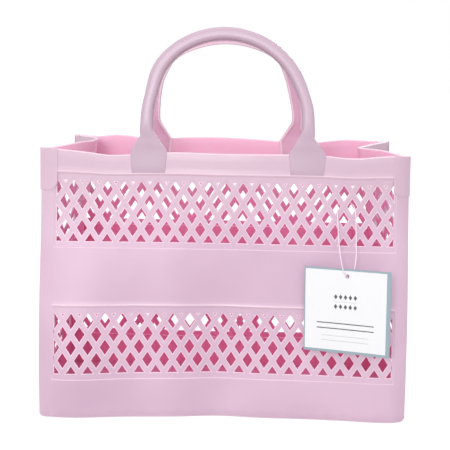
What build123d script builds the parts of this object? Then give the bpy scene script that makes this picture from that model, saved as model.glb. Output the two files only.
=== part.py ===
"""Soft moulded tote-style shower caddy: lattice walls, folded side gussets, two arched
handles and a hang tag. Millimetres, +Z up, +X to the right seen from the front, origin
at the middle of the footprint on the ground."""
from build123d import *
import math
import os

# Bag
overall_height = 285.0  # ground to the top of the handles
bag_length = 271.0  # front and back walls, side to side
base_depth = 125.0  # front to back on the ground
rim_depth = 104.0  # front to back at the rim
wall_height = 197.0  # ground to the rim
wall = 2.0  # moulded sheet
base_thickness = 2.5
bottom_corner_radius = 4.0
gusset_fold_start = 12.0  # the side walls stay flat up to here

# Lattice windows, two in each wall
lattice_pitch = 12.35
lattice_row = 9.73
opening_width = 7.1
opening_height = 10.5
wall_window_pitches = 20
gusset_window_pitches = 4
window_rows = 4  # whole rows above the half row at the sill
lower_window_sill = 33.5
rim_band = 16.58  # plain strip of wall between the upper window's recess and the rim
recess_depth = 0.5
recess_side = 2.0  # recess past the window, at the sides
recess_below = 5.0
recess_above = 49.4  # sill to the recess's upper edge

# Handles
handle_width = 8.2  # across the strap, seen from the front
handle_thickness = 9.0  # front to back
handle_edge_radius = 2.5
handle_span = 125.8  # over the outsides of the legs
handle_leg_height = 29.0  # straight leg, above the rim
handle_haunch_radius = 50.0
handle_lean = 5.8
foot_spacing = 115.0  # between the middles of the two feet
foot_width = 26.6  # at the rim
foot_bottom_width = 24.6
foot_drop = 16.3  # the foot's patch on the wall, below the rim
foot_patch = 1.5
foot_lip = 2.0  # the foot carries on this far above the rim
outer_neck_height = 11.0  # where the flare meets the leg, above the rim
inner_neck_height = 16.0
neck_clearance = 0.4
leg_start = 3.5  # thick leg, above the bending line

# Corner patches
corner_patch_width = 12.3
corner_patch_height = 29.5
corner_patch_radius = 6.0
corner_patch_thickness = 0.8

# Hang tag
tag_width = 63.5
tag_height = 62.5
tag_thickness = 0.5
tag_hole_radius = 1.5
tag_hole_drop = 5.4  # the hole's middle, below the tag's top edge
tag_hole = Vector(88.1, -70.75, 111.6)
tag_twist = 20.5  # the tag hangs turned, with its right edge forward
lock_radius = 1.6
lock_length = 6.0
lock_top = Vector(89.1, -68.5, 106.0)
loop_diameter = 0.8
loop_route = [
    (88.62, -68.75, 106.0),
    (88.70, -68.90, 109.2),
    (88.00, -70.90, 112.0),
    (87.00, -72.90, 114.0),
    (86.20, -72.90, 118.0),
    (84.60, -70.40, 125.0),
    (82.70, -65.90, 134.5),
    (81.30, -60.90, 144.5),
    (80.50, -57.20, 152.3),
    (80.35, -54.90, 156.9),
    (81.00, -51.20, 160.0),
    (83.80, -48.90, 162.4),
    (86.45, -48.30, 162.9),
    (89.10, -48.90, 162.4),
    (91.90, -51.20, 160.0),
    (92.55, -54.90, 156.9),
    (92.90, -57.60, 152.3),
    (93.50, -61.00, 143.5),
    (93.50, -64.60, 133.5),
    (92.40, -66.80, 124.0),
    (90.60, -67.90, 115.5),
    (89.75, -68.20, 109.8),
    (89.58, -68.25, 106.0),
]

# Derived places
lean = math.degrees(math.atan((base_depth - rim_depth) / 2 / wall_height))
slope = math.tan(math.radians(lean))
wall_length_up = wall_height / math.cos(math.radians(lean))  # measured along the wall
flap = base_depth / 2 - wall  # the width of one half of a gusset
upper_window_sill = wall_length_up - rim_band - recess_above
sills = [lower_window_sill, upper_window_sill]
inner_leg = handle_span / 2 - handle_width
outer_leg = handle_span / 2


def half_depth(z):
    """From the middle of the bag to the inner face of the front or back wall."""
    return base_depth / 2 - wall - z * slope


gusset_fold = math.sqrt(flap**2 - half_depth(wall_height) ** 2)  # at the rim


def prism(points, direction):
    """A straight solid from a closed outline and the way it is pushed."""
    face = Face(Wire.make_polygon([Vector(*p) for p in points], close=True))
    return Solid.extrude(face, Vector(*direction))


def lattice(half_width, sill, pitch):
    """The openings of one window as outlines of (across, up) points. Rows alternate by
    half a pitch, and the window's sides and sill cut the openings that they cross."""
    outlines = []
    count = round(2 * half_width / pitch)
    wide = opening_width / 2 * pitch / lattice_pitch
    tall = opening_height / 2
    for row in range(window_rows + 1):
        shift = (row % 2) / 2
        z = sill + row * lattice_row
        for i in range(count if shift else count + 1):
            x = -half_width + (i + shift) * pitch
            left = max(x - wide, -half_width)
            right = min(x + wide, half_width)
            low = max(z - tall, sill)
            outline = [(left, z), (x, low), (right, z), (x, z + tall)]
            outlines.append(list(dict.fromkeys(outline)))
    return outlines


def lattice_wall():
    """The front wall, upright, with its outer face on y = 0."""
    half = bag_length / 2
    edge = [(-half, 0, 0), (half, 0, 0), (half, 0, wall_length_up), (-half, 0, wall_length_up)]
    window_half = wall_window_pitches * lattice_pitch / 2
    holes = []
    for sill in sills:
        for outline in lattice(window_half, sill, lattice_pitch):
            holes.append(Wire.make_polygon([Vector(x, 0, z) for x, z in outline], close=True))
    outer = Wire.make_polygon([Vector(*p) for p in edge], close=True)
    body = Solid.extrude(Face(outer, holes), Vector(0, wall, 0))
    across = 2 * (window_half + recess_side)
    for sill in sills:
        low = sill - recess_below
        tall = recess_above + recess_below
        recess = Box(across, recess_depth, tall, align=(Align.CENTER, Align.MIN, Align.MIN))
        body -= Pos(0, 0, low) * recess
    corners = body.edges().filter_by(Axis.Y).filter_by(lambda e: e.center().Z < 0.01)
    return fillet(corners.filter_by(lambda e: abs(e.center().X) > half - 0.01), bottom_corner_radius)


def lean_in(shape):
    """Tips an upright front piece back about the wall's inner lower edge, into its place."""
    tipped = Rot(-lean, 0, 0) * Pos(0, -wall, 0) * shape
    return Pos(0, wall - base_depth / 2, 0) * tipped


def base_panel():
    low, high = half_depth(0), half_depth(base_thickness)
    x = bag_length / 2 - wall
    outline = [(-x, -low, 0), (-x, low, 0), (-x, high, base_thickness), (-x, -high, base_thickness)]
    return prism(outline, (2 * x, 0, 0))


def gusset():
    """The right side wall: a flat strip at the ground that folds inwards to a V at the rim."""
    x = bag_length / 2
    sections = []
    for z, fold in [(0, 0), (gusset_fold_start, 0), (wall_height, gusset_fold)]:
        d = half_depth(z)
        outline = [(x, -d), (x - fold, 0), (x, d), (x - wall, d), (x - wall - fold, 0), (x - wall, -d)]
        wire = Wire.make_polygon([Vector(px, py, z) for px, py in outline], close=True)
        sections.append(Face(wire))
    body = loft(sections, ruled=True)
    cutters = []
    for sill in sills:
        middle = sill + lattice_row * window_rows / 2
        pitch = lattice_pitch * half_depth(middle) / flap
        half = gusset_window_pitches * pitch / 2
        for side in (-1, 1):
            centre = side * half_depth(middle) / 2
            for outline in lattice(half, sill, pitch):
                points = [(x - gusset_fold - 2 * wall, centre + y, z) for y, z in outline]
                cutters.append(prism(points, (gusset_fold + 3 * wall, 0, 0)))
    return body - cutters


def flare_edges(height):
    """Both edges of the right foot's outline at a height above the rim, from -x to +x."""
    inner_rim = (foot_spacing - foot_width) / 2
    outer_rim = (foot_spacing + foot_width) / 2
    inner = inner_rim + (inner_leg - inner_rim) * min(height / inner_neck_height, 1)
    outer = outer_rim + (outer_leg - outer_rim) * min(height / outer_neck_height, 1)
    return inner, outer


def handle_foot():
    """The right foot of the front handle, upright: a patch on the wall and a lip on the rim."""
    middle, top = foot_spacing / 2, wall_length_up
    bottom = top - foot_drop
    rim_in, rim_out = flare_edges(0)
    lip_in, lip_out = flare_edges(foot_lip)
    half = foot_bottom_width / 2
    patch = [(middle - half, bottom), (middle + half, bottom), (rim_out, top), (rim_in, top)]
    lip = [(rim_in, top), (rim_out, top), (lip_out, top + foot_lip), (lip_in, top + foot_lip)]
    on_wall = prism([(x, -foot_patch, z) for x, z in patch], (0, foot_patch, 0))
    on_rim = prism([(x, -foot_patch, z) for x, z in lip], (0, foot_patch + wall, 0))
    return on_wall + on_rim


root_half = (foot_patch + wall) / 2  # half the thickness of a handle at its bending line
bend_above_rim = foot_lip + neck_clearance + root_half


def bending_line():
    """A point on the line along X where the front handle bends."""
    marker = lean_in(Pos(0, root_half - foot_patch, wall_length_up + bend_above_rim) * Sphere(1))
    return marker.center()


def handle_arch():
    """The front handle above its bending line, which is the X axis of its own frame."""
    leg_top = handle_leg_height - bend_above_rim
    tilt = math.radians(handle_lean)
    across = (handle_width / 2 - handle_edge_radius) * math.cos(tilt)
    along = (handle_thickness / 2 - handle_edge_radius) * math.sin(tilt)
    crest = overall_height - handle_edge_radius - across - along
    apex = (crest - bending_line().Z) / math.cos(tilt)  # of the strap's middle line
    a, b = outer_leg - handle_width / 2, apex - leg_top
    r = handle_haunch_radius
    crown = (r**2 - b**2 - (a - r) ** 2) / (2 * (r - b))
    turn = math.degrees(math.atan2(crown - b, a - r))
    plane = Plane(origin=(0, 0, leg_top), x_dir=(1, 0, 0), z_dir=(0, -1, 0))
    path = Wire([
        Edge.make_line((a, 0, leg_start), (a, 0, leg_top)),
        plane * CenterArc((a - r, 0), r, 0, turn).edge(),
        plane * CenterArc((0, b - crown), crown, turn, 180 - 2 * turn).edge(),
        plane * CenterArc((r - a, 0), r, 180 - turn, turn).edge(),
        Edge.make_line((-a, 0, leg_top), (-a, 0, leg_start)),
    ])
    start = Plane(origin=(a, 0, leg_start), x_dir=(1, 0, 0), z_dir=(0, 0, 1))
    strap = start * RectangleRounded(handle_width, handle_thickness, handle_edge_radius)
    body = sweep(strap, path=path)
    inner, outer = flare_edges(bend_above_rim)
    up_in, up_out = inner_neck_height - bend_above_rim, outer_neck_height - bend_above_rim
    web = [(inner, 0), (outer, 0), (outer_leg, up_out), (a, up_in), (inner_leg, up_in)]
    for side in (-1, 1):
        outline = [(side * x, -root_half, z) for x, z in web]
        body += prism(outline, (0, 2 * root_half, 0))
        pin = Cylinder(root_half, outer - inner, rotation=(0, 90, 0))
        body += Pos(side * (inner + outer) / 2, 0, 0) * pin
    return body


def place_arch(shape):
    """Stands a front arch on its bending line, leaning in."""
    return Pos(bending_line()) * Rot(-handle_lean, 0, 0) * shape


def corner_patch():
    """The right corner's patch, upright: a leaf on the wall with a return round its edge."""
    x, top, t = bag_length / 2, wall_length_up, corner_patch_thickness
    low = top - corner_patch_height
    leaf = Box(corner_patch_width + t, t, corner_patch_height, align=Align.MIN)
    leaf = Pos(x - corner_patch_width, -t, low) * leaf
    inner = leaf.edges().filter_by(Axis.Y).sort_by(lambda e: e.center().X + e.center().Z)[0]
    leaf = fillet(inner, corner_patch_radius)
    edge = Box(t, wall, corner_patch_height, align=Align.MIN)
    return leaf + Pos(x, 0, low) * edge


def hang_tag():
    card = Box(tag_width, tag_thickness, tag_height)
    hole = Cylinder(tag_hole_radius, 4 * tag_thickness, rotation=(90, 0, 0))
    rise = tag_height / 2 - tag_hole_drop
    card = Pos(0, 0, -rise) * card - hole
    return Pos(tag_hole) * Rot(0, 0, -tag_twist) * card


def tag_loop():
    """The nylon loop: straight runs joined by arcs as large as the runs allow."""
    points = [Vector(*p) for p in loop_route]
    radii = []
    for a, b, c in zip(points, points[1:], points[2:]):
        turn = (b - a).get_angle(c - b)
        run = min((b - a).length, (c - b).length)
        radii.append(0.45 * run / math.tan(math.radians(turn / 2)))
    print("loop radii", [round(r, 1) for r in radii])
    path = FilletPolyline(*points, radius=radii)
    start = Plane(origin=path @ 0, z_dir=path % 0)
    tube = sweep(start * Circle(loop_diameter / 2), path=path)
    section = math.pi * loop_diameter**2 / 4
    print("loop length", round(path.length, 1), "volume ratio", round(tube.volume / (section * path.length), 4))
    return tube


def build():
    """Every node, by name."""
    front = lean_in(lattice_wall())
    right = gusset()
    foot = lean_in(handle_foot())
    arch = place_arch(handle_arch())
    patch = lean_in(corner_patch())
    across, through = Plane.YZ, Plane.XZ
    left_foot, left_patch = mirror(foot, about=across), mirror(patch, about=across)
    lock = Cylinder(lock_radius, lock_length, align=(Align.CENTER, Align.CENTER, Align.MAX))
    nodes = {
        "front_panel": front,
        "back_panel": mirror(front, about=through),
        "left_gusset": mirror(right, about=across),
        "right_gusset": right,
        "base_panel": base_panel(),
        "front_handle": arch,
        "back_handle": mirror(arch, about=through),
    }
    for side, one_foot, one_patch in [("left", left_foot, left_patch), ("right", foot, patch)]:
        nodes[f"front_handle_{side}_foot"] = one_foot
        nodes[f"back_handle_{side}_foot"] = mirror(one_foot, about=through)
        nodes[f"front_{side}_corner_patch"] = one_patch
        nodes[f"back_{side}_corner_patch"] = mirror(one_patch, about=through)
    nodes["hang_tag"] = hang_tag()
    nodes["tag_loop"] = tag_loop()
    nodes["tag_lock"] = Pos(lock_top) * lock
    print("handle bending line", bending_line())
    return nodes


os.makedirs("parts", exist_ok=True)
for name, shape in build().items():
    export_step(shape, f"parts/{name}.step")
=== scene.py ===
import math

import bmesh
import bpy
from mathutils import Matrix, Vector
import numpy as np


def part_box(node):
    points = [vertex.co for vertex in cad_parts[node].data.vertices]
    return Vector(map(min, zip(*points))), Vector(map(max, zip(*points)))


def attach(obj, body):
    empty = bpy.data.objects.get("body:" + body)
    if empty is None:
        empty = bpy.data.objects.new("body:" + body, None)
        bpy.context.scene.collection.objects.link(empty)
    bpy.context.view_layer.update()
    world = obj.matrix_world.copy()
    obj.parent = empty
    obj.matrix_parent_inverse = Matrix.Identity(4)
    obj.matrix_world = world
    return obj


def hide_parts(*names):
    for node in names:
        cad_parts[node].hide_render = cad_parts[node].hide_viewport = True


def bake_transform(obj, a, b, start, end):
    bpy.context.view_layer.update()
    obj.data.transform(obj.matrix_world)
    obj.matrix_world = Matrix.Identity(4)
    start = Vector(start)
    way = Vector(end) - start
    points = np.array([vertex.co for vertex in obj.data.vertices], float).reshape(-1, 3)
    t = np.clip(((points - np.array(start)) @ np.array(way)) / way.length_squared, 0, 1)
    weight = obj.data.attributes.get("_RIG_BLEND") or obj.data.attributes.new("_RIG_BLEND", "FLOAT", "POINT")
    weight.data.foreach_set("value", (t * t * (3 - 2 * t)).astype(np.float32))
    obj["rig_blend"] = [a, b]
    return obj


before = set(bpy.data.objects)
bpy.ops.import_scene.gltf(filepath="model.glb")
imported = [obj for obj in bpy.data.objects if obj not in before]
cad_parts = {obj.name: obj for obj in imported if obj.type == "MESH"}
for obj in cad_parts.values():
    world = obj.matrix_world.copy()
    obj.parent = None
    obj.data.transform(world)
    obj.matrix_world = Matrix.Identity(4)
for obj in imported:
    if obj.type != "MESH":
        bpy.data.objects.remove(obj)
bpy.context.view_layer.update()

# Sizes are in millimetres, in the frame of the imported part, and each mesh is brought to metres at its end.
mm = 0.001
panelLow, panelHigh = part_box("front_panel")
baseLow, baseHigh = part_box("base_panel")

bag = {
    "halfLength": panelHigh.x / mm,
    "halfDepth": -panelLow.y / mm,
    "height": 197.3,  # measured up the wall
    "wall": 2.0,
    "lean": math.radians(3.05),
    "floorThick": baseHigh.z / mm,
    "paintedLightFrom": 120.0,  # above this the colour is blended towards the rim colour, painted light that makes the top paler, up to the rim
    "edgeRadius": 0.55,
    "rimRadius": 0.8,
}


def smooth(x, low, high):
    t = min(max((x - low) / (high - low), 0), 1)
    return t * t * (3 - 2 * t)


def bump(x, middle, width):
    return math.exp(-(((x - middle) / width) ** 2))


# camera
camera = {
    "place": (11.68, -716.04, 251.19),
    "down": 9.16,
    "turn": -1.05,
    "roll": 0.96,
    "lens": 73.57,
    "sensor": 36,
}


def makeCamera():
    down, turn, roll = (math.radians(camera[k]) for k in ("down", "turn", "roll"))
    ahead = Vector((math.sin(turn), math.cos(turn), 0))
    side = Vector((math.cos(turn), -math.sin(turn), 0))
    look = math.cos(down) * ahead - math.sin(down) * Vector((0, 0, 1))
    over = math.cos(down) * Vector((0, 0, 1)) + math.sin(down) * ahead
    right = math.cos(roll) * side + math.sin(roll) * over
    up = math.cos(roll) * over - math.sin(roll) * side
    data = bpy.data.cameras.new("camera")
    data.lens = camera["lens"]
    data.sensor_width = camera["sensor"]
    eye = bpy.data.objects.new("camera", data)
    turned = Matrix((right, up, -look)).transposed()
    eye.matrix_world = Matrix.Translation(Vector(camera["place"]) * mm) @ turned.to_4x4()
    bpy.context.scene.collection.objects.link(eye)
    bpy.context.scene.camera = eye


# materials
def nodeTree(name):
    material = bpy.data.materials.new(name)
    material.use_nodes = True
    nodes = material.node_tree.nodes
    nodes.clear()
    out = nodes.new("ShaderNodeOutputMaterial")
    shader = nodes.new("ShaderNodeBsdfPrincipled")
    material.node_tree.links.new(shader.outputs["BSDF"], out.inputs["Surface"])
    return material, nodes, material.node_tree.links, shader


moulding = {
    "cloudScale": 14,
    "peelScale": 420,
    "waveScale": 26,
    "cloudFrom": 0.35,
    "cloudTo": 0.65,
    "patchRoughness": 0.12,  # added to the roughness of the cloudy patches
    "waveShare": 110,  # of the relief, for each part of fine peel
    "relief": 0.25,
    "reliefDepth": 0.000018,
    "scatter": (1, 0.35, 0.55),
    "scatterDepth": 0.004,
}
# the edge colour and its share paint a highlight on bevelled edges, steps and hems
# the rim colour is painted light: the upper part is paler where more light reaches it
plastics = {
    "outerSheet": {"colour": (0.63, 0.43, 0.56), "cloud": (0.70, 0.49, 0.62), "rim": (0.62, 0.44, 0.54),
                   "edge": (0.93, 0.70, 0.80), "edgeHighlightShare": 0.75, "rough": 0.34, "depth": 0},
    # inner faces: a deeper pink, painted light that stands in for light passing through the sheet and
    # bouncing inside the bag
    "innerSheetPaintedLight": {"colour": (0.86, 0.27, 0.50), "cloud": (0.88, 0.32, 0.55), "rim": (0.84, 0.50, 0.66),
                   "edge": (0.95, 0.70, 0.81), "edgeHighlightShare": 0.75, "rough": 0.38, "depth": 0.22},
    "handleMoulding": {"colour": (0.51, 0.345, 0.46), "cloud": (0.57, 0.40, 0.515),
                       "rim": (0.55, 0.40, 0.495),
                       "edge": (0.90, 0.70, 0.80), "edgeHighlightShare": 0.75, "rough": 0.28, "depth": 0},
    # the handle's inner channel: a lighter, pinker copy of the handle plastic, painted light from the bag's
    # inside
    "handleInsidePaintedLight": {"colour": (0.66, 0.41, 0.55), "cloud": (0.69, 0.45, 0.59), "rim": (0.68, 0.42, 0.56),
                     "edge": (0.92, 0.70, 0.80), "edgeHighlightShare": 0.85, "rough": 0.34, "depth": 0},
}


def mouldedGrainGroup():
    # soft moulded sheet: cloudy colour, fine orange peel, a painted highlight on the edges and painted light
    # that makes it paler towards the rim
    group = bpy.data.node_groups.new("mouldedGrain", "ShaderNodeTree")
    face = group.interface
    face.new_socket("Colour", in_out="INPUT", socket_type="NodeSocketColor")
    face.new_socket("Cloud colour", in_out="INPUT", socket_type="NodeSocketColor")
    face.new_socket("Painted top light colour", in_out="INPUT", socket_type="NodeSocketColor")
    face.new_socket("Edge highlight colour", in_out="INPUT", socket_type="NodeSocketColor")
    face.new_socket("Edge highlight share", in_out="INPUT", socket_type="NodeSocketFloat")
    face.new_socket("Roughness", in_out="INPUT", socket_type="NodeSocketFloat")
    face.new_socket("Colour", in_out="OUTPUT", socket_type="NodeSocketColor")
    face.new_socket("Roughness", in_out="OUTPUT", socket_type="NodeSocketFloat")
    face.new_socket("Height", in_out="OUTPUT", socket_type="NodeSocketFloat")
    nodes, links = group.nodes, group.links
    into, out = nodes.new("NodeGroupInput"), nodes.new("NodeGroupOutput")
    place = nodes.new("ShaderNodeTexCoord")
    clouds = nodes.new("ShaderNodeTexNoise")
    clouds.inputs["Scale"].default_value = moulding["cloudScale"]
    clouds.inputs["Detail"].default_value = 2
    peel = nodes.new("ShaderNodeTexNoise")
    peel.inputs["Scale"].default_value = moulding["peelScale"]
    peel.inputs["Detail"].default_value = 1
    waves = nodes.new("ShaderNodeTexNoise")
    waves.inputs["Scale"].default_value = moulding["waveScale"]
    waves.inputs["Detail"].default_value = 1
    for texture in (clouds, peel, waves):
        links.new(place.outputs["Object"], texture.inputs["Vector"])
    share = nodes.new("ShaderNodeMapRange")
    share.inputs["From Min"].default_value = moulding["cloudFrom"]
    share.inputs["From Max"].default_value = moulding["cloudTo"]
    links.new(clouds.outputs["Fac"], share.inputs["Value"])
    tint = nodes.new("ShaderNodeMix")
    tint.data_type = "RGBA"
    links.new(share.outputs["Result"], tint.inputs["Factor"])
    links.new(into.outputs["Colour"], tint.inputs["A"])
    links.new(into.outputs["Cloud colour"], tint.inputs["B"])
    parts = nodes.new("ShaderNodeSeparateXYZ")
    links.new(place.outputs["Object"], parts.inputs["Vector"])
    # painted light: from this height up to the rim the colour is blended towards the rim colour
    rise = nodes.new("ShaderNodeMapRange")
    rise.interpolation_type = "SMOOTHSTEP"
    rise.inputs["From Min"].default_value = bag["paintedLightFrom"] * mm
    rise.inputs["From Max"].default_value = bag["height"] * mm
    links.new(parts.outputs["Z"], rise.inputs["Value"])
    paintedTopLight = nodes.new("ShaderNodeMix")
    paintedTopLight.data_type = "RGBA"
    links.new(rise.outputs["Result"], paintedTopLight.inputs["Factor"])
    links.new(tint.outputs["Result"], paintedTopLight.inputs["A"])
    links.new(into.outputs["Painted top light colour"], paintedTopLight.inputs["B"])
    # painted highlight: faces marked in the edge attribute are mixed towards the edge colour
    edge = nodes.new("ShaderNodeAttribute")
    edge.attribute_name = "edge"
    edgeHighlightAmount = nodes.new("ShaderNodeMath")
    edgeHighlightAmount.operation = "MULTIPLY"
    links.new(edge.outputs["Fac"], edgeHighlightAmount.inputs[0])
    links.new(into.outputs["Edge highlight share"], edgeHighlightAmount.inputs[1])
    final = nodes.new("ShaderNodeMix")
    final.data_type = "RGBA"
    links.new(edgeHighlightAmount.outputs["Value"], final.inputs["Factor"])
    links.new(paintedTopLight.outputs["Result"], final.inputs["A"])
    links.new(into.outputs["Edge highlight colour"], final.inputs["B"])
    links.new(final.outputs["Result"], out.inputs["Colour"])
    patch = nodes.new("ShaderNodeMath")
    patch.operation = "MULTIPLY_ADD"
    patch.inputs[1].default_value = moulding["patchRoughness"]
    links.new(share.outputs["Result"], patch.inputs[0])
    links.new(into.outputs["Roughness"], patch.inputs[2])
    links.new(patch.outputs["Value"], out.inputs["Roughness"])
    height = nodes.new("ShaderNodeMath")
    height.operation = "MULTIPLY_ADD"
    height.inputs[1].default_value = moulding["waveShare"]
    links.new(waves.outputs["Fac"], height.inputs[0])
    links.new(peel.outputs["Fac"], height.inputs[2])
    links.new(height.outputs["Value"], out.inputs["Height"])
    return group


def mouldedPlastic(name, grain):
    finish = plastics[name]
    material, nodes, links, shader = nodeTree(name)
    skin = nodes.new("ShaderNodeGroup")
    skin.node_tree = grain
    skin.inputs["Colour"].default_value = (*finish["colour"], 1)
    skin.inputs["Cloud colour"].default_value = (*finish["cloud"], 1)
    skin.inputs["Painted top light colour"].default_value = (*finish["rim"], 1)
    skin.inputs["Edge highlight colour"].default_value = (*finish["edge"], 1)
    skin.inputs["Edge highlight share"].default_value = finish["edgeHighlightShare"]
    skin.inputs["Roughness"].default_value = finish["rough"]
    relief = nodes.new("ShaderNodeBump")
    relief.inputs["Strength"].default_value = moulding["relief"]
    relief.inputs["Distance"].default_value = moulding["reliefDepth"]
    links.new(skin.outputs["Colour"], shader.inputs["Base Color"])
    links.new(skin.outputs["Roughness"], shader.inputs["Roughness"])
    links.new(skin.outputs["Height"], relief.inputs["Height"])
    links.new(relief.outputs["Normal"], shader.inputs["Normal"])
    shader.inputs["IOR"].default_value = 1.5
    shader.inputs["Subsurface Weight"].default_value = finish["depth"]
    shader.inputs["Subsurface Radius"].default_value = moulding["scatter"]
    shader.inputs["Subsurface Scale"].default_value = moulding["scatterDepth"]
    return material


papers = {
    "cardFace": {"colour": (0.87, 0.87, 0.885), "other": (0.84, 0.84, 0.86), "rough": 0.42},
    "cardBorder": {"colour": (0.30, 0.39, 0.44), "other": (0.34, 0.43, 0.48), "rough": 0.4},
    "darkInk": {"colour": (0.09, 0.09, 0.10), "other": (0.13, 0.13, 0.14), "rough": 0.5},
    "paleInk": {"colour": (0.55, 0.56, 0.58), "other": (0.62, 0.63, 0.65), "rough": 0.5},
}


def printedCard(name):
    finish = papers[name]
    material, nodes, links, shader = nodeTree(name)
    place = nodes.new("ShaderNodeTexCoord")
    fibres = nodes.new("ShaderNodeTexNoise")
    fibres.inputs["Scale"].default_value = 900
    fibres.inputs["Detail"].default_value = 4
    links.new(place.outputs["Object"], fibres.inputs["Vector"])
    tint = nodes.new("ShaderNodeMix")
    tint.data_type = "RGBA"
    tint.inputs["A"].default_value = (*finish["colour"], 1)
    tint.inputs["B"].default_value = (*finish["other"], 1)
    links.new(fibres.outputs["Fac"], tint.inputs["Factor"])
    links.new(tint.outputs["Result"], shader.inputs["Base Color"])
    relief = nodes.new("ShaderNodeBump")
    relief.inputs["Strength"].default_value = 0.08
    relief.inputs["Distance"].default_value = 0.00005
    links.new(fibres.outputs["Fac"], relief.inputs["Height"])
    links.new(relief.outputs["Normal"], shader.inputs["Normal"])
    shader.inputs["Roughness"].default_value = finish["rough"]
    return material


def nylonThread():
    material, nodes, links, shader = nodeTree("nylonThread")
    place = nodes.new("ShaderNodeTexCoord")
    streaks = nodes.new("ShaderNodeTexNoise")
    streaks.inputs["Scale"].default_value = 300
    links.new(place.outputs["Object"], streaks.inputs["Vector"])
    tint = nodes.new("ShaderNodeMix")
    tint.data_type = "RGBA"
    tint.inputs["A"].default_value = (0.84, 0.66, 0.77, 1)
    tint.inputs["B"].default_value = (0.93, 0.80, 0.87, 1)
    links.new(streaks.outputs["Fac"], tint.inputs["Factor"])
    links.new(tint.outputs["Result"], shader.inputs["Base Color"])
    shader.inputs["Roughness"].default_value = 0.22
    return material


def paleFloor():
    material, nodes, links, shader = nodeTree("paleFloor")
    shader.inputs["Base Color"].default_value = (0.5, 0.5, 0.5, 1)
    shader.inputs["Roughness"].default_value = 0.9
    shader.inputs["Specular IOR Level"].default_value = 0
    shader.inputs["Emission Color"].default_value = (1, 1, 1, 1)
    ray = nodes.new("ShaderNodeLightPath")
    glow = nodes.new("ShaderNodeMath")
    glow.operation = "MULTIPLY"
    glow.inputs[1].default_value = 0.65
    links.new(ray.outputs["Is Camera Ray"], glow.inputs[0])
    links.new(glow.outputs["Value"], shader.inputs["Emission Strength"])
    return material


grain = mouldedGrainGroup()
outerSheet = mouldedPlastic("outerSheet", grain)
innerSheetPaintedLight = mouldedPlastic("innerSheetPaintedLight", grain)
handleMoulding = mouldedPlastic("handleMoulding", grain)
handleInsidePaintedLight = mouldedPlastic("handleInsidePaintedLight", grain)
cardFace, cardBorder = printedCard("cardFace"), printedCard("cardBorder")
darkInk, paleInk = printedCard("darkInk"), printedCard("paleInk")
nylon = nylonThread()
print("materials ready")


# finishing a mesh
def finishPiece(bm, name, materials, body, replaced=(), sharpAngle=35):
    # brings the mesh to metres, marks its sharp edges and hands it to its body
    bmesh.ops.scale(bm, vec=(mm, mm, mm), verts=bm.verts)
    bmesh.ops.recalc_face_normals(bm, faces=bm.faces)
    limit = math.radians(sharpAngle)
    for face in bm.faces:
        face.smooth = True
    for edge in bm.edges:
        edge.smooth = len(edge.link_faces) == 2 and edge.calc_face_angle(0) < limit
    mesh = bpy.data.meshes.new(name)
    bm.to_mesh(mesh)
    bm.free()
    for material in materials:
        mesh.materials.append(material)
    piece = bpy.data.objects.new(name, mesh)
    bpy.context.scene.collection.objects.link(piece)
    if body:
        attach(piece, body)
    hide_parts(*replaced)
    return piece


def cutAt(bm, place, normal, clear=False):
    everything = bm.verts[:] + bm.edges[:] + bm.faces[:]
    bmesh.ops.bisect_plane(bm, geom=everything, dist=0.01, plane_co=place, plane_no=normal, clear_outer=clear)


# lattice sheets
lattice = {
    "pitch": 12.35,
    "row": 9.73,
    "holeWide": 7.6,
    "holeTall": 11.4,
    "sill": 33.9,
    "rowsBetween": 10,  # from the lower sill to the upper one
    "windowTall": 44.15,
    "recessSide": 2.0,
    "recessBelow": 5.0,
    "recessAbove": 49.4,
    "recessDepth": 0.5,
    "backDepth": 0.5,  # the inner face is set back too
    "step": 0.5,
    "hemWidth": 0.9,  # half the thin raised hem over each window
    "hemHeight": 0.35,
}
windowSills = [lattice["sill"], lattice["sill"] + lattice["rowsBetween"] * lattice["row"]]


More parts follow.
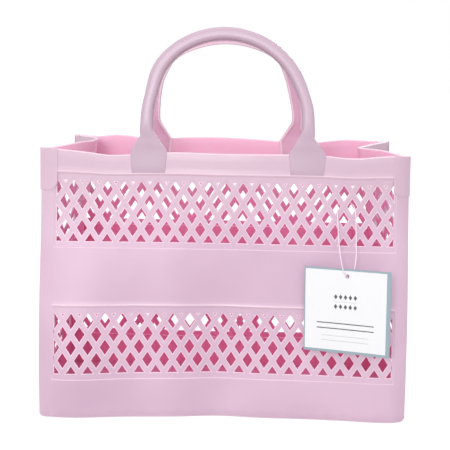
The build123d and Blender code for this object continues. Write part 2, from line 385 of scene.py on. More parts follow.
def latticeSheet(left, right, height, middle, windowHalf, levels, columns=()):
    # a flat sheet in the XZ plane, with its outer face on y = 0 and its inner face on y = wall
    pitch, row = lattice["pitch"], lattice["row"]
    reach = max(right - middle, middle - left) / (pitch / 2) + (height - lattice["sill"]) / row
    count = 2 * math.ceil(reach / 2) + 5
    bm = bmesh.new()
    bmesh.ops.create_grid(bm, x_segments=count, y_segments=count, size=count / 2)
    bmesh.ops.rotate(bm, cent=(0, 0, 0), matrix=Matrix.Rotation(math.radians(45), 3, "Z"), verts=bm.verts)
    half = math.sqrt(0.5)
    bmesh.ops.scale(bm, vec=(pitch * half, 2 * row * half, 1), verts=bm.verts)
    bmesh.ops.rotate(bm, cent=(0, 0, 0), matrix=Matrix.Rotation(math.radians(90), 3, "X"), verts=bm.verts)
    bmesh.ops.translate(bm, vec=(middle, 0, lattice["sill"]), verts=bm.verts)
    cutAt(bm, (right, 0, 0), (1, 0, 0), clear=True)
    cutAt(bm, (left, 0, 0), (-1, 0, 0), clear=True)
    cutAt(bm, (0, 0, height), (0, 0, 1), clear=True)
    cutAt(bm, (0, 0, 0), (0, 0, -1), clear=True)

    openLayer = bm.faces.layers.int.new("opening")
    holes = []
    for face in bm.faces:
        if len(face.verts) != 4:
            continue
        c = face.calc_center_median()
        inside = abs(c.x - middle) < windowHalf + 0.1
        reach = lattice["windowTall"] + lattice["holeTall"] / 2
        if inside and any(s - 0.1 < c.z < s + reach for s in windowSills):
            holes.append(face)
    bmesh.ops.inset_individual(bm, faces=holes, thickness=2.0, use_even_offset=True)
    for face in holes:
        face[openLayer] = 1
        c = face.calc_center_median()
        wide = 2 * max(abs(v.co.x - c.x) for v in face.verts)
        tall = 2 * max(abs(v.co.z - c.z) for v in face.verts)
        stretch = (lattice["holeWide"] / wide, 1, lattice["holeTall"] / tall)
        bmesh.ops.scale(bm, vec=stretch, space=Matrix.Translation(-c), verts=face.verts)

    recessHalf = windowHalf + lattice["recessSide"]
    for x in (windowHalf, recessHalf, recessHalf - lattice["step"], *columns):
        for side in (-1, 1):
            cutAt(bm, (middle + side * x, 0, 0), (1, 0, 0))
    lines = list(levels)
    for sill in windowSills:
        low, high = sill - lattice["recessBelow"], sill + lattice["recessAbove"]
        lines += [sill, sill + lattice["windowTall"], low, low + lattice["step"]]
        lines += [high, high - lattice["step"], high + lattice["hemWidth"], high + 2 * lattice["hemWidth"]]
    for z in lines:
        cutAt(bm, (0, 0, z), (0, 0, 1))
    gone = []
    for face in bm.faces:
        c = face.calc_center_median()
        across = abs(c.x - middle) < windowHalf
        if face[openLayer] and across and any(s < c.z < s + lattice["windowTall"] for s in windowSills):
            gone.append(face)
    bmesh.ops.delete(bm, geom=gone, context="FACES")
    return bm


def thicken(bm, thickness, rimHeight):
    # gives a flat sheet its thickness and rounds the edges of its openings and its rim
    outer = bm.faces[:]
    made = bmesh.ops.extrude_face_region(bm, geom=outer, use_keep_orig=True)
    moved = [g for g in made["geom"] if isinstance(g, bmesh.types.BMVert)]
    bmesh.ops.translate(bm, vec=(0, thickness, 0), verts=moved)
    bmesh.ops.recalc_face_normals(bm, faces=bm.faces)
    edgeHighlightLayer = bm.faces.layers.float.new("edge")
    for rim, radius, segments in ((True, bag["rimRadius"], 3), (False, bag["edgeRadius"], 2)):
        edges = []
        for edge in bm.edges:
            a, b = (v.co for v in edge.verts)
            onRim = min(a.z, b.z) > rimHeight - 0.1
            if abs(a.y - b.y) < 0.1 and edge.calc_face_angle(0) > 1 and onRim == rim:
                edges.append(edge)
        made = bmesh.ops.bevel(bm, geom=edges, offset=radius, offset_type="OFFSET", segments=segments,
                               profile=0.5, affect="EDGES", material=-1, clamp_overlap=False)
        # the bevel faces carry the painted edge highlight
        for face in made["faces"]:
            face[edgeHighlightLayer] = 1
    return bm


def markSteps(bm, middle, windowHalf):
    # the steps round the windows and the hems over them catch the light as edges do
    edgeHighlightLayer = bm.faces.layers.float["edge"]
    half, step = windowHalf + lattice["recessSide"], lattice["step"]
    for face in bm.faces:
        if face[edgeHighlightLayer] or abs(face.normal.y) < 0.9:
            continue
        c = face.calc_center_median()
        out = abs(c.x - middle) - half
        for sill in windowSills:
            low, high = sill - lattice["recessBelow"], sill + lattice["recessAbove"]
            if low < c.z < high and -step < out < 0:
                face[edgeHighlightLayer] = 0.5
            elif out < 0 and (low < c.z < low + step or high - step < c.z < high + 2 * lattice["hemWidth"]):
                face[edgeHighlightLayer] = 0.5


def inRecess(x, z, middle, windowHalf):
    half = windowHalf + lattice["recessSide"]
    for sill in windowSills:
        low, high = sill - lattice["recessBelow"], sill + lattice["recessAbove"]
        if low + 0.1 < z < high - 0.1 and abs(x - middle) < half - 0.1:
            return True
    return False


def onHem(x, z, middle, windowHalf):
    rises = [s + lattice["recessAbove"] + lattice["hemWidth"] for s in windowSills]
    return abs(x - middle) < windowHalf + lattice["recessSide"] + 0.1 and min(abs(z - r) for r in rises) < 0.3


def placeSheet(bm, surface, middle, windowHalf, folded=False):
    # moves a flat sheet onto its surface, with its thickness along the surface's normal
    step = 0.5
    for v in bm.verts:
        x, t, z = v.co
        where = (abs(x) if folded else x, z, middle, windowHalf)
        if inRecess(*where):
            t += lattice["recessDepth"] if t < 0.4 else (-lattice["backDepth"] if t > 1.6 else 0)
        elif onHem(*where) and t < 0.4:
            t -= lattice["hemHeight"]
        here = surface(x, z)
        across = surface(x + step, z) - surface(x - step, z)
        up = surface(x, z + step) - surface(x, z - step)
        v.co = here + up.cross(across).normalized() * t


wallShape = {
    # how far the front wall leans in (+) or out (-) low down: place, width, depth, where that fades out
    "bulges": (
        (-2, 26, 4.6, 50, 165),
        (50, 30, 1.8, 50, 130),
        (-114, 38, -6.5, 40, 175),
        (118, 22, -2.6, 20, 110),
    ),
    "belly": 0.38,  # a bulge out by more than bellyLeast is that much deeper above bellyTop
    "bellyLeast": 5,
    "bellyTop": 32,
    "backBulges": ((0, 90, 5.0, 30, 132),),
    # the rim's rises (+) and dips (-): place, width, height
    "dips": (
        (-134, 14, 1.4), (-82, 20, -3.1), (93, 19, -2.6),
        (0, 60, -0.9), (-30, 12, 0.4), (134, 14, -0.4),
    ),
    "backDips": (
        (-134, 19, 4.5), (-96, 20, 4.6), (-12, 62, 4.6),
        (102, 24, 4.4), (138, 18, 3.2),
    ),
    "dipLow": (131, 170),  # between these heights a quarter of a dip is reached
    "dipLowShare": 0.25,
    "dipHigh": 176,  # from here to the rim the rest of it
    "cornerRadius": 4.0,
    "pinch": (0.5, 2.9),  # how far the front wall's ends draw in at the rim, left and right
    "backPinch": (7.5, 3.9),
    "turnBack": (0.8, 3.8),  # how far its ends curve back
    "turnFrom": 123.0,
    "pinchFrom": 45,
    "pinchPast": 20,  # the pinch would go on to this height above the rim
    "lowShift": 0.6,  # sideways, below the upper windows
    "shiftFade": (80, 150),
    "shiftTurn": 1.4,  # the right end shifts the other way
    "shiftTurnAt": (40, 110),
    "columns": (124, 126, 128, 130, 132.2, 133.4, 134.4, 135.1),
}


def wallBow(x, z, bulges):
    total = 0
    for at, wide, depth, start, end in bulges:
        deep = depth < -wallShape["bellyLeast"]
        belly = wallShape["belly"] * smooth(z, 0, wallShape["bellyTop"]) if deep else 0
        total += depth * (1 + belly) * bump(x, at, wide) * (1 - smooth(z, start, end))
    return total


def rimDip(x, z, dips):
    low = wallShape["dipLowShare"]
    share = low * smooth(z, *wallShape["dipLow"]) + (1 - low) * smooth(z, wallShape["dipHigh"], bag["height"])
    return share * sum(high * bump(x, at, wide) for at, wide, high in dips)


def roundedFoot(x, z):
    # lifts the ends of the wall's lower edge to its rounded corners
    r = wallShape["cornerRadius"]
    past = abs(x) - (bag["halfLength"] - r)
    return max(z, r - math.sqrt(max(0, r * r - past * past))) if past > 0 else z


def wallSurface(x, z, dips, bulges, pinch):
    right = x > 0
    end = abs(x) / bag["halfLength"]
    z = roundedFoot(x, z)
    up = z + rimDip(x, z, dips)
    past = max(0, abs(x) - wallShape["turnFrom"]) / (bag["halfLength"] - wallShape["turnFrom"])
    turn = wallShape["turnBack"][right] * past**2
    y = -bag["halfDepth"] + up * math.sin(bag["lean"]) + wallBow(x, z, bulges) + turn
    drawn = pinch[right] * smooth(z, wallShape["pinchFrom"], bag["height"] + wallShape["pinchPast"]) * end**2
    turnOver = 1 - wallShape["shiftTurn"] * smooth(x, *wallShape["shiftTurnAt"])
    shift = wallShape["lowShift"] * (1 - smooth(z, *wallShape["shiftFade"])) * turnOver
    return Vector((x - math.copysign(drawn, x) - shift, y, up * math.cos(bag["lean"])))


def frontSurface(x, z):
    return wallSurface(x, z, wallShape["dips"], wallShape["bulges"], wallShape["pinch"])


def backSurface(x, z):
    return wallSurface(x, z, wallShape["backDips"], wallShape["backBulges"], wallShape["backPinch"])


wallLevels = [8, 17, 25, 88, 96, 104, 112, 120, 186, 191]


def makeWall(name, surface, node, turn):
    half = bag["halfLength"]
    windowHalf = 10 * lattice["pitch"]
    bm = latticeSheet(-half, half, bag["height"], 0, windowHalf, wallLevels, wallShape["columns"])
    thicken(bm, bag["wall"], bag["height"])
    markSteps(bm, 0, windowHalf)
    # the inner faces get the inner sheet's colour, painted light of the bag's inside
    for face in bm.faces:
        face.material_index = 1 if face.normal.y > 0.5 else 0
    placeSheet(bm, surface, 0, windowHalf)
    if turn:
        bmesh.ops.scale(bm, vec=(1, -1, 1), verts=bm.verts)
        bmesh.ops.reverse_faces(bm, faces=bm.faces)
    return finishPiece(bm, name, [outerSheet, innerSheetPaintedLight], "basket", [node])


makeWall("frontWall", frontSurface, "front_panel", False)
makeWall("backWall", backSurface, "back_panel", True)
print("walls made")

# folded side gussets
gussets = {
    "foldStart": 12.0,
    "foldDepth": {1: 33.2, -1: 30.4},
    "height": 197,
    "radius": 2.0,
    "squareness": {1: (0, 0.2), -1: (1.0, 2.0)},  # of the fold at the rim, in the front and the back half
    "foldLines": (1.2, 2.6, 4.2),
    "windowPitches": 4,
    "rise": {1: 1.9, -1: 4.4},  # of the rim along the fold
    "riseFrom": 140,
    "frontCorner": 26,  # from here to the walls the rim comes down, or up, to the walls' corners
    "backCorner": 8,
}


def gussetSurface(u, z, side):
    # the right gusset: u runs across the sheet from the front wall to the back wall
    half = bag["halfDepth"] - bag["wall"]
    share = min(max((z - gussets["foldStart"]) / (gussets["height"] - gussets["foldStart"]), 0), 1)
    rounded = gussets["radius"] * share
    away = math.sqrt(u * u + rounded * rounded)
    edge = math.sqrt(half * half + rounded * rounded)
    out = ((away - rounded) / (edge - rounded)) ** (1 + gussets["squareness"][side][u > 0] * share)
    ends = backSurface if u > 0 else frontSurface
    corner = ends(side * bag["halfLength"], z)
    depth = -corner.y - bag["wall"]
    outside = abs(corner.x)
    fold = gussets["foldDepth"][side] * share - (bag["halfLength"] - outside)
    cornered = smooth(-u, gussets["frontCorner"], half) if u < 0 else smooth(u, gussets["backCorner"], half)
    rise = gussets["rise"][side] * smooth(z, gussets["riseFrom"], gussets["height"])
    lift = (corner.z - z) * cornered + rise * (1 - cornered)
    return Vector((outside - fold * (1 - out), depth * u / half, z + lift))


def makeGusset(name, side, node):
    half = bag["halfDepth"] - bag["wall"]
    windowHalf = gussets["windowPitches"] * lattice["pitch"] / 2
    bm = latticeSheet(0, half, gussets["height"], half / 2, windowHalf, wallLevels)
    for x in gussets["foldLines"]:
        cutAt(bm, (x, 0, 0), (1, 0, 0))
    copy = bmesh.ops.duplicate(bm, geom=bm.verts[:] + bm.edges[:] + bm.faces[:])["geom"]
    flipped = [g for g in copy if isinstance(g, bmesh.types.BMVert)]
    bmesh.ops.scale(bm, vec=(-1, 1, 1), verts=flipped)
    bmesh.ops.reverse_faces(bm, faces=[g for g in copy if isinstance(g, bmesh.types.BMFace)])
    bmesh.ops.remove_doubles(bm, verts=bm.verts, dist=0.02)
    bmesh.ops.recalc_face_normals(bm, faces=bm.faces)
    thicken(bm, bag["wall"], gussets["height"])
    # the inner faces get the inner sheet's colour, painted light of the bag's inside
    for face in bm.faces:
        face.material_index = 1 if face.normal.y > 0.5 else 0
    placeSheet(bm, lambda u, z: gussetSurface(u, z, side), half / 2, windowHalf, True)
    if side < 0:
        bmesh.ops.scale(bm, vec=(-1, 1, 1), verts=bm.verts)
        bmesh.ops.reverse_faces(bm, faces=bm.faces)
    return finishPiece(bm, name, [outerSheet, innerSheetPaintedLight], "basket", [node])


makeGusset("rightGusset", 1, "right_gusset")
makeGusset("leftGusset", -1, "left_gusset")
print("gussets made")

# base
base = {"columns": 40, "rows": 10, "radius": 0.6}


def makeBase():
    half = bag["halfLength"] - bag["wall"]
    bm = bmesh.new()
    bmesh.ops.create_grid(bm, x_segments=base["columns"], y_segments=base["rows"], size=1)
    bmesh.ops.scale(bm, vec=(half, 1, 1), verts=bm.verts)
    made = bmesh.ops.extrude_face_region(bm, geom=bm.faces[:], use_keep_orig=True)
    top = [g for g in made["geom"] if isinstance(g, bmesh.types.BMVert)]
    bmesh.ops.translate(bm, vec=(0, 0, bag["floorThick"]), verts=top)
    bmesh.ops.recalc_face_normals(bm, faces=bm.faces)
    for v in bm.verts:
        x, share, z = v.co
        front = frontSurface(x, z).y + bag["wall"]
        back = -backSurface(x, z).y - bag["wall"]
        v.co.y = front + (share + 1) / 2 * (back - front)
    edges = [e for e in bm.edges if e.calc_face_angle(0) > 1]
    bmesh.ops.bevel(bm, geom=edges, offset=base["radius"], offset_type="OFFSET", segments=2, profile=0.5,
                    affect="EDGES", material=-1, clamp_overlap=True)
    # the base's upper face gets the inner sheet's colour, painted light of the bag's inside
    for face in bm.faces:
        face.material_index = 1 if face.normal.z > 0.5 else 0
    return finishPiece(bm, "floorPanel", [outerSheet, innerSheetPaintedLight], "basket", ["base_panel"])


makeBase()
print("base made")

# handles
handle = {
    "bend": (-51.527, 201.237),  # y and z of the bending line
    "lean": math.radians(5.8),
    "ringSteps": 4,  # to each rounded corner
    "channelLip": 1.1,
    "channelSlope": 0.5,
    "legTop": 29.0,
    "haunchRadius": 50.0,
    "legMiddle": 58.8,
    "crownHeight": 83.9,  # the middle of the strap, above the rim
    "archSteps": 44,
    "backShift": -2.8,
    "crownShift": -2.2,
    "crownRise": 1.2,
    "legDraw": 0.033,  # how far each leg curves in below the haunch, as a share of its distance
    "backLegDraw": 0.028,
    "backHaunch": 0.15,  # the back handle's haunches are squarer
    "backRise": 2.2,
    "bendUp": 4.16,  # the bending line, above the rim
    "leanChange": (-3, 6),
    "crownZone": (40, 80),
    "backWiden": 1.006,
    "backLegAt": (37, 11),  # each place is a height above the rim and a width
    "backHaunchAt": (71, 11.5),
    "backSway": 1.4,
    "backSwayAt": (46, 19),
    "backSettle": 0.4,
    "legNarrow": 0.007,
    "legNarrowZone": (8, 22),
    "legAt": (45, 14),
    "footShift": 0.8,
    "footZone": (0, 14),
    "crownShiftZone": (33, 70),
    "blendBelow": 3.5,
    "blendAbove": 6.5,
}
# the foot and flare of the right leg, from the bottom up: height above the rim, inner edge, outer edge,
# outer face and inner face (from the plane through the bending line), corner radius, channel depth
flare = [
    (-16.4, 45.9, 69.1, -0.2, 1.8, 0.2, 0.0),
    (-15.4, 45.4, 69.6, -0.45, 2.3, 0.25, 0.2),
    (-11.0, 45.0, 70.0, -0.7, 2.7, 0.3, 0.7),
    (-6.0, 44.7, 70.3, -0.85, 2.7, 0.4, 0.8),
    (-2.5, 44.4, 70.5, -0.95, 2.75, 0.4, 0.8),
    (0.0, 44.2, 70.7, -1.1, 2.8, 0.45, 0.8),
    (1.5, 45.2, 69.7, -1.3, 2.85, 0.5, 0.9),
    (3.0, 46.2, 68.6, -1.5, 2.9, 0.6, 0.9),
    (4.5, 47.2, 67.5, -1.8, 3.0, 0.7, 1.0),
    (6.5, 48.5, 66.1, -2.1, 3.2, 0.8, 1.0),
    (8.5, 49.8, 64.6, -2.4, 3.4, 0.9, 1.1),
    (11.0, 51.4, 62.9, -2.9, 3.7, 1.1, 1.2),
    (13.5, 52.9, 63.2, -3.5, 4.0, 1.5, 1.3),
    (16.0, 54.2, 63.3, -4.0, 4.3, 2.0, 1.4),
    (19.0, 54.4, 63.3, -4.4, 4.5, 2.5, 1.4),
    (24.0, 54.4, 63.3, -4.5, 4.5, 2.9, 1.4),
]


def ringPoints(wide, front, back, corner, channel):
    # one section of the handle as (across, depth) points, the channel being on its inner face
    half, points = wide / 2, []
    steps = handle["ringSteps"]
    low, high = min(corner, half * 0.9), min(0.6, half * 0.5)
    for cx, cy, r, start in ((half - low, front + low, low, -90), (half - high, back - high, high, 0)):
        for k in range(steps + 1):
            turn = math.radians(start + 90 * k / steps)
            points.append((cx + r * math.cos(turn), cy + r * math.sin(turn)))
    lip = half - high - handle["channelLip"] * min(1, half / 5)
    points.append((lip, back))
    points.append((lip - handle["channelSlope"], back - channel))
    mirrored = [(-x, y) for x, y in reversed(points)]
    return [(0, front)] + points + [(0, back - channel)] + mirrored


def archStations():
    # legs as straight runs and the arch as three arcs: place, direction along the strap
    a, b = handle["legMiddle"], handle["crownHeight"] - handle["legTop"]
    r = handle["haunchRadius"]
    crown = (r**2 - b**2 - (a - r) ** 2) / (2 * (r - b))
    turn = math.atan2(crown - b, a - r)
    total = 2 * r * turn + crown * (math.pi - 2 * turn)
    stations = []
    for k in range(handle["archSteps"] + 1):
        s = total * k / handle["archSteps"]
        mirrorIt = s > total / 2
        s = min(s, total - s)
        if s < r * turn:
            angle = s / r
            x, z = a - r + r * math.cos(angle), r * math.sin(angle)
        else:
            angle = turn + (s - r * turn) / crown
            x, z = crown * math.cos(angle), b - crown + crown * math.sin(angle)
        if mirrorIt:
            x, angle = -x, math.pi - angle
        stations.append((x, handle["legTop"] + z, angle))
    return stations


def handlePlace(x, up, depth, back):
    # from the handle's own plane to the bag, below the bending line along the wall
    s = up - handle["bendUp"]
    tilt = bag["lean"] + (handle["lean"] - bag["lean"]) * smooth(s, *handle["leanChange"])
    y, z = handle["bend"]
    high = smooth(up, *handle["crownZone"])
    if back:
        draw = handle["backLegDraw"] * bump(up, *handle["backLegAt"])
        x *= handle["backWiden"] - draw + handle["backHaunch"] * bump(up, *handle["backHaunchAt"])
        x += handle["backShift"] - handle["backSway"] * bump(up, *handle["backSwayAt"])
        s += handle["backRise"] * (1 - handle["backSettle"] * high)
    else:
        draw = handle["legDraw"] * bump(up, *handle["legAt"])
        x *= 1 - handle["legNarrow"] * smooth(up, *handle["legNarrowZone"]) - draw
        foot = handle["footShift"] * (1 - smooth(up, *handle["footZone"]))
        x += foot + handle["crownShift"] * smooth(up, *handle["crownShiftZone"])
        s += handle["crownRise"] * high
    across, along = depth * math.cos(tilt), s * math.sin(tilt)
    return Vector((x, y + along + across, z + s * math.cos(tilt) - depth * math.sin(tilt)))


def makeHandle(name, body, nodes, turn):
    rings = []
    for up, inner, outer, front, back, corner, channel in flare:
        points = ringPoints(outer - inner, front, back, corner, channel)
        rings.append([((inner + outer) / 2 + x, up, y) for x, y in points])
    last = flare[-1]
    for x, up, angle in archStations():
        points = ringPoints(last[2] - last[1], last[3], last[4], last[5], last[6])
        rings.append([(x + p * math.cos(angle), up + p * math.sin(angle), y) for p, y in points])
    for up, inner, outer, front, back, corner, channel in reversed(flare):
        points = ringPoints(outer - inner, front, back, corner, channel)
        rings.append([(-(inner + outer) / 2 - x, up, y) for x, y in points])
    bm = bmesh.new()
    count = len(rings[0])
    ring = bmesh.ops.create_circle(bm, segments=count, radius=1)["verts"]
    edges = bm.edges[:]
    first = ring
    edgeHighlightLayer = bm.faces.layers.float.new("edge")
    steps = handle["ringSteps"]
    # these sides of each ring carry the painted edge highlight
    lit = set(range(steps + 2, 2 * steps + 4))
    for number, places in enumerate(rings):
        if number:
            made = bmesh.ops.extrude_edge_only(bm, edges=edges)["geom"]
            fresh = [g for g in made if isinstance(g, bmesh.types.BMVert)]
            link = {}
            for v in fresh:
                for e in v.link_edges:
                    other = e.other_vert(v)
                    if other in ring:
                        link[other] = v
            for k, v in enumerate(ring):
                e = bm.edges.get((v, ring[(k + 1) % count]))
                side = min(k, count - 1 - k)
                for f in e.link_faces:
                    if link[v] in f.verts:
                        f[edgeHighlightLayer] = 1 if side in lit else 0
                        # the inner channel faces get the handle's painted-light inside colour
                        f.material_index = 1 if side > 2 * steps + 2 else 0
            ring = [link[v] for v in ring]
            edges = [g for g in made if isinstance(g, bmesh.types.BMEdge)
                     and all(v in ring for v in g.verts)]
        for v, (x, up, y) in zip(ring, places):
            v.co = handlePlace(x, up, y, turn)
    for loop in (first, ring):
        bmesh.ops.contextual_create(bm, geom=loop)
    if turn:
        bmesh.ops.scale(bm, vec=(1, -1, 1), verts=bm.verts)
    piece = finishPiece(bm, name, [handleMoulding, handleInsidePaintedLight], None, nodes, 50)
    side = -1 if turn else 1
    y, z = handle["bend"][0] * side * mm, handle["bend"][1] * mm
    low, high = z - handle["blendBelow"] * mm, z + handle["blendAbove"] * mm
    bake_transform(piece, "basket", body, start=(0, y, low), end=(0, y, high))
    return piece


makeHandle("frontStrap", "front_handle",
           ["front_handle", "front_handle_left_foot", "front_handle_right_foot"], False)
makeHandle("backStrap", "back_handle",
           ["back_handle", "back_handle_left_foot", "back_handle_right_foot"], True)
print("handles made")

# corner patches
patch = {"wide": 12.3, "tall": 29.5, "radius": 6.0, "thick": 0.45, "edge": 0.18}


def pushFaces(bm, faces, offset):
    # moves faces out, with new faces round them, and leaves nothing behind
    made = bmesh.ops.extrude_face_region(bm, geom=faces)
    moved = [g for g in made["geom"] if isinstance(g, bmesh.types.BMVert)]
    bmesh.ops.translate(bm, vec=offset, verts=moved)
    bmesh.ops.delete(bm, geom=faces, context="FACES")
    bmesh.ops.recalc_face_normals(bm, faces=bm.faces)


def makePatch(name, side, turn, node):
    half, top = bag["halfLength"], bag["height"]
    bm = bmesh.new()
    bmesh.ops.create_grid(bm, x_segments=1, y_segments=1, size=0.5)
    bmesh.ops.rotate(bm, cent=(0, 0, 0), matrix=Matrix.Rotation(math.radians(90), 3, "X"), verts=bm.verts)
    bmesh.ops.scale(bm, vec=(patch["wide"], 1, patch["tall"]), verts=bm.verts)
    bmesh.ops.translate(bm, vec=(half - patch["wide"] / 2, 0, top - patch["tall"] / 2), verts=bm.verts)
    corner = [v for v in bm.verts if v.co.x < half - 1 and v.co.z < top - 1]
    bmesh.ops.bevel(bm, geom=corner, offset=patch["radius"], offset_type="OFFSET", segments=8, profile=0.5,
                    affect="VERTICES", material=-1, clamp_overlap=True)
    for z in range(int(top - patch["tall"]) + 1, int(top), 3):
        cutAt(bm, (0, 0, z), (0, 0, 1))
    for x in wallShape["columns"]:
        cutAt(bm, (x, 0, 0), (1, 0, 0))
    made = bmesh.ops.extrude_face_region(bm, geom=bm.faces[:], use_keep_orig=True)
    moved = [g for g in made["geom"] if isinstance(g, bmesh.types.BMVert)]
    bmesh.ops.translate(bm, vec=(0, -patch["thick"], 0), verts=moved)
    bmesh.ops.recalc_face_normals(bm, faces=bm.faces)
    wrap = [f for f in bm.faces if f.normal.x > 0.9]
    pushFaces(bm, wrap, (patch["thick"], 0, 0))
    back = [f for f in bm.faces if f.normal.y > 0.9 and f.calc_center_median().x > half]
    pushFaces(bm, back, (0, bag["wall"], 0))
    edgeHighlightLayer = bm.faces.layers.float.new("edge")
    edges = [e for e in bm.edges if e.calc_face_angle(0) > 0.8]
    made = bmesh.ops.bevel(bm, geom=edges, offset=patch["edge"], offset_type="OFFSET", segments=2,
                           profile=0.5, affect="EDGES", material=-1, clamp_overlap=True)
    # the patch's bevels carry the painted edge highlight, a little weaker
    for face in made["faces"]:
        face[edgeHighlightLayer] = 0.6
    surface = backSurface if turn else frontSurface
    for v in bm.verts:
        x, t, z = v.co
        z = min(z, top + 0.1)
        here = surface(side * min(x, half), z)
        v.co = here + Vector((side * max(0, x - half), t, 0))
    if turn:
        bmesh.ops.scale(bm, vec=(1, -1, 1), verts=bm.verts)
    return finishPiece(bm, name, [outerSheet], "basket", [node])


for sideName, side in (("left", -1), ("right", 1)):
    makePatch(f"frontCornerPatch_{sideName}", side, False, f"front_{sideName}_corner_patch")
    makePatch(f"backCornerPatch_{sideName}", side, True, f"back_{sideName}_corner_patch")
print("corner patches made")

# hang tag
tag = {
    "wide": 63.5,
    "tall": 62.5,
    "thick": 0.45,
    "hole": (88.1, -70.75, 111.6),
    "holeRadius": 1.5,
    "holeDrop": 5.4,
    "twist": math.radians(-20.5),
    "roll": math.radians(-1.0),
    "border": (0.9, 3.0, 2.0, 1.4),  # left, right, bottom, top
    "curl": 0.6,
    "printLift": 0.03,
    "diamondStep": 3.6,  # across, and from the middle rule up and down
    "diamondHalf": (1.3, 1.9),
    "diamondDrop": 24.5,
}
# rules printed on the card: middle across, drop below the top edge, width, height, ink
rules = [
    (0.0, 40.6, 42.0, 0.75, "dark"),
    (0.0, 44.6, 42.0, 0.75, "dark"),
    (0.0, 50.0, 35.0, 0.45, "pale"),
    (0.0, 53.6, 35.0, 0.45, "pale"),
    (0.0, 24.5, 16.0, 0.3, "pale"),
]


def cardPlace(bm):
    # from the card's own plane, whose origin is the hole, to where it hangs
    half = tag["wide"] / 2
    for v in bm.verts:
        v.co.y -= tag["curl"] * (v.co.x / half) ** 2
    turned = Matrix.Rotation(tag["twist"], 4, "Z") @ Matrix.Rotation(tag["roll"], 4, "Y")
    bmesh.ops.transform(bm, matrix=Matrix.Translation(tag["hole"]) @ turned, verts=bm.verts)


def rectangle(bm, left, right, low, high):
    places = ((left, low), (right, low), (right, high), (left, high))
    corners = [bm.verts.new((x, 0, z)) for x, z in places]
    edges = [bm.edges.new((corners[k], corners[(k + 1) % 4])) for k in range(4)]
    bmesh.ops.subdivide_edges(bm, edges=edges, cuts=9)


def makeCard():
    half, top = tag["wide"] / 2, tag["holeDrop"]
    low = top - tag["tall"]
    left, right, bottom, upper = tag["border"]
    bm = bmesh.new()
    rectangle(bm, -half, half, low, top)
    rectangle(bm, -half + left, half - right, low + bottom, top - upper)
    bmesh.ops.triangle_fill(bm, edges=bm.edges[:], use_beauty=True, normal=(0, -1, 0))
    for face in bm.faces:
        face.material_index = 1

    def inside(v):
        return abs(v.co.x) < half - 0.5 and low + 1 < v.co.z < top - 1

    inner = [e for e in bm.edges if e.is_boundary and all(inside(v) for v in e.verts)]
    circle = bmesh.ops.create_circle(bm, segments=24, radius=tag["holeRadius"])["verts"]
    bmesh.ops.rotate(bm, cent=(0, 0, 0), matrix=Matrix.Rotation(math.radians(90), 3, "X"), verts=circle)
    ringEdges = [e for e in bm.edges if all(v in circle for v in e.verts)]
    bmesh.ops.triangle_fill(bm, edges=inner + ringEdges, use_beauty=True, normal=(0, -1, 0))
    for x in range(-30, 31, 5):
        cutAt(bm, (x + 0.3, 0, 0), (1, 0, 0))
    made = bmesh.ops.extrude_face_region(bm, geom=bm.faces[:], use_keep_orig=True)
    moved = [g for g in made["geom"] if isinstance(g, bmesh.types.BMVert)]
    bmesh.ops.translate(bm, vec=(0, tag["thick"], 0), verts=moved)
    bmesh.ops.translate(bm, vec=(0, -tag["thick"] / 2, 0), verts=bm.verts)
    cardPlace(bm)
    return finishPiece(bm, "tagCard", [cardFace, cardBorder], "hang_tag", ["hang_tag"], 30)


def makePrint():
    bm = bmesh.new()
    across = (tag["border"][0] - tag["border"][1]) / 2
    for middle, drop, wide, tall, ink in rules:
        made = bmesh.ops.create_grid(bm, x_segments=14, y_segments=1, size=0.5)["verts"]
        bmesh.ops.rotate(bm, cent=(0, 0, 0), matrix=Matrix.Rotation(math.radians(90), 3, "X"), verts=made)
        bmesh.ops.scale(bm, vec=(wide, 1, tall), verts=made)
        place = (middle + across, -tag["thick"] / 2 - tag["printLift"], tag["holeDrop"] - drop)
        bmesh.ops.translate(bm, vec=place, verts=made)
        for face in {f for v in made for f in v.link_faces}:
            face.material_index = 0 if ink == "dark" else 1
    upright = Matrix.Rotation(math.radians(90), 3, "X")
    wide, tall = tag["diamondHalf"]
    front = -tag["thick"] / 2 - tag["printLift"]
    for lift in (tag["diamondStep"], -tag["diamondStep"]):
        for k in range(-2, 3):
            made = bmesh.ops.create_circle(bm, segments=4, radius=1, cap_ends=True)["verts"]
            bmesh.ops.rotate(bm, cent=(0, 0, 0), matrix=upright, verts=made)
            bmesh.ops.scale(bm, vec=(wide, 1, tall), verts=made)
            place = (across + k * tag["diamondStep"], front, tag["holeDrop"] - tag["diamondDrop"] + lift)
            bmesh.ops.translate(bm, vec=place, verts=made)
    made = bmesh.ops.extrude_face_region(bm, geom=bm.faces[:], use_keep_orig=True)
    moved = [g for g in made["geom"] if isinstance(g, bmesh.types.BMVert)]
    bmesh.ops.translate(bm, vec=(0, tag["printLift"], 0), verts=moved)
    cardPlace(bm)
    return finishPiece(bm, "tagPrint", [darkInk, paleInk], "hang_tag")


makeCard()
makePrint()
print("tag made")

# the tag's nylon loop; most of these points are up to 3 mm off the CAD's
loop = {"diameter": 0.8, "length": 0.136}
loopRoute = [
    (88.62, -68.75, 106.0), (88.50, -69.10, 109.4), (87.60, -71.20, 111.8), (85.90, -72.70, 113.8),
    (84.20, -72.90, 117.2), (82.60, -70.90, 125.0), (81.40, -66.30, 136.0), (81.10, -60.60, 147.0),
    (80.90, -57.20, 152.6), (80.40, -54.90, 157.7), (81.00, -51.20, 160.7), (84.30, -48.90, 162.4),
    (87.20, -48.30, 162.9), (90.20, -48.90, 162.4), (93.00, -51.20, 160.0), (93.90, -54.90, 157.2),
    (94.10, -57.60, 152.3), (94.20, -61.00, 143.5), (94.20, -64.60, 133.5), (94.40, -66.90, 125.0),
    (93.40, -68.20, 116.5), (90.60, -68.60, 110.0), (89.58, -68.25, 106.0),
]


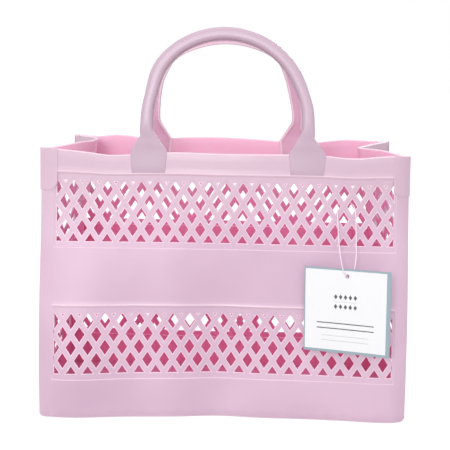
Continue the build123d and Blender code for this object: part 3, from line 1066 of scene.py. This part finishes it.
def makeLoop():
    line = bpy.data.curves.new("nylonLoop", "CURVE")
    line.dimensions = "3D"
    spline = line.splines.new("NURBS")
    spline.points.add(len(loopRoute) - 1)
    for point, place in zip(spline.points, loopRoute):
        point.co = (*(Vector(place) * mm), 1)
    spline.order_u = 3
    spline.use_endpoint_u = True
    spline.resolution_u = 8
    line.bevel_depth = loop["diameter"] / 2 * mm
    line.bevel_resolution = 4
    line.use_fill_caps = True
    line.materials.append(nylon)
    piece = bpy.data.objects.new("nylonLoop", line)
    bpy.context.scene.collection.objects.link(piece)
    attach(piece, "tag_loop")
    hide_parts("tag_loop")
    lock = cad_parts["tag_lock"]
    lock.data.materials.clear()
    lock.data.materials.append(nylon)


makeLoop()
print("loop made")

# studio
studio = {
    "floor": 30.0,
    "floorDrop": 0.0003,
    "aim": (0, 0, 0.1),
    "brightSide": Vector((-0.4, -0.5, 0.75)).normalized(),
    "brightness": (0.69, 1.05),  # away from the bright side, and towards it
    "lamps": {
        "keyLamp": {"place": (-0.2, -1.4, 0.5), "size": 0.35, "power": 6.8},
        "topLamp": {"place": (-0.1, -0.3, 1.6), "size": 0.9, "power": 2.2},
        "backLamp": {"place": (0.6, 1.5, 0.9), "size": 0.8, "power": 8},
    },
}


def makeStudio():
    # seen directly the surroundings are white; their light comes more from one side
    world = bpy.data.worlds.new("studio")
    world.use_nodes = True
    nodes, links = world.node_tree.nodes, world.node_tree.links
    sky = nodes["Background"]
    sky.inputs["Color"].default_value = (1, 1, 1, 1)
    place = nodes.new("ShaderNodeTexCoord")
    towards = nodes.new("ShaderNodeVectorMath")
    towards.operation = "DOT_PRODUCT"
    towards.inputs[1].default_value = studio["brightSide"]
    links.new(place.outputs["Generated"], towards.inputs[0])
    level = nodes.new("ShaderNodeMapRange")
    level.inputs["From Min"].default_value = -1
    level.inputs["To Min"].default_value, level.inputs["To Max"].default_value = studio["brightness"]
    links.new(towards.outputs["Value"], level.inputs["Value"])
    ray = nodes.new("ShaderNodeLightPath")
    seen = nodes.new("ShaderNodeMix")
    seen.inputs["B"].default_value = 1
    links.new(ray.outputs["Is Camera Ray"], seen.inputs["Factor"])
    links.new(level.outputs["Result"], seen.inputs["A"])
    links.new(seen.outputs["Result"], sky.inputs["Strength"])
    bpy.context.scene.world = world
    bm = bmesh.new()
    bmesh.ops.create_grid(bm, x_segments=1, y_segments=1, size=studio["floor"] / 2)
    mesh = bpy.data.meshes.new("studioFloor")
    bm.to_mesh(mesh)
    bm.free()
    mesh.materials.append(paleFloor())
    ground = bpy.data.objects.new("studioFloor", mesh)
    ground.location.z = -studio["floorDrop"]
    bpy.context.scene.collection.objects.link(ground)
    for name, lamp in studio["lamps"].items():
        data = bpy.data.lights.new(name, "AREA")
        data.size = lamp["size"]
        data.energy = lamp["power"]
        item = bpy.data.objects.new(name, data)
        item.location = lamp["place"]
        item.rotation_euler = (Vector(studio["aim"]) - item.location).to_track_quat("-Z", "Y").to_euler()
        bpy.context.scene.collection.objects.link(item)
    bpy.context.scene.view_settings.view_transform = "Standard"


makeCamera()
makeStudio()
print("studio ready")
